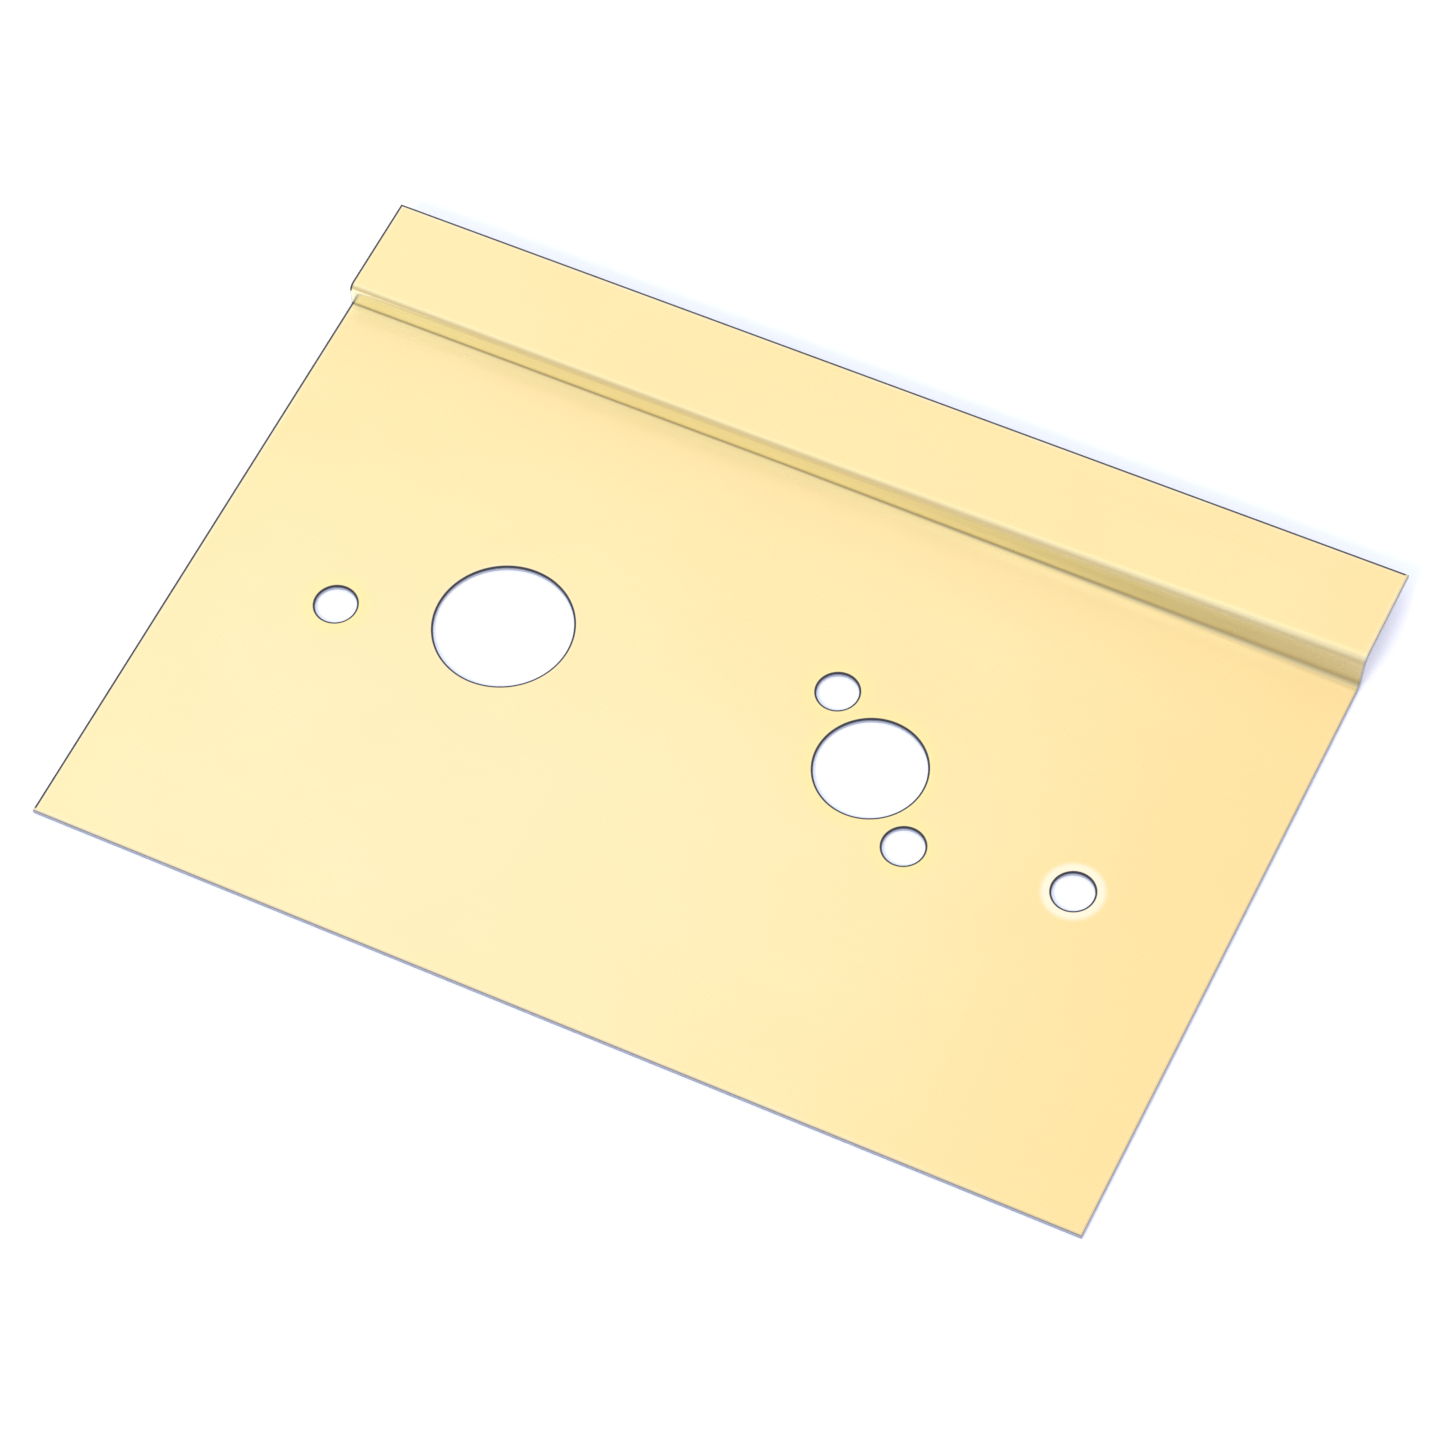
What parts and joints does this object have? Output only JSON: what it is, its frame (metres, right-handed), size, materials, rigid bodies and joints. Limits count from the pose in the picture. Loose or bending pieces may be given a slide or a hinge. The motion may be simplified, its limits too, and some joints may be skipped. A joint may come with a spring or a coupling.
{
  "type": "offset lock guard plate",
  "caption": "Kick-plate style brass guard for a door's lock: a punched sheet with one long edge pressed into a raised lap.",
  "frame": {"origin": "middle of the plate's outline, in the plane of the flat panel's back face", "axes": "+X along the plate's length, +Y across it towards the raised lap, +Z out of the front face"},
  "size_m": [0.254, 0.1778, 0.0076],
  "materials": {
    "brass_sheet": "satin, lacquered"
  },
  "bodies": {
    "root": {"guard_plate": "brass_sheet"}
  },
  "joints": []
}
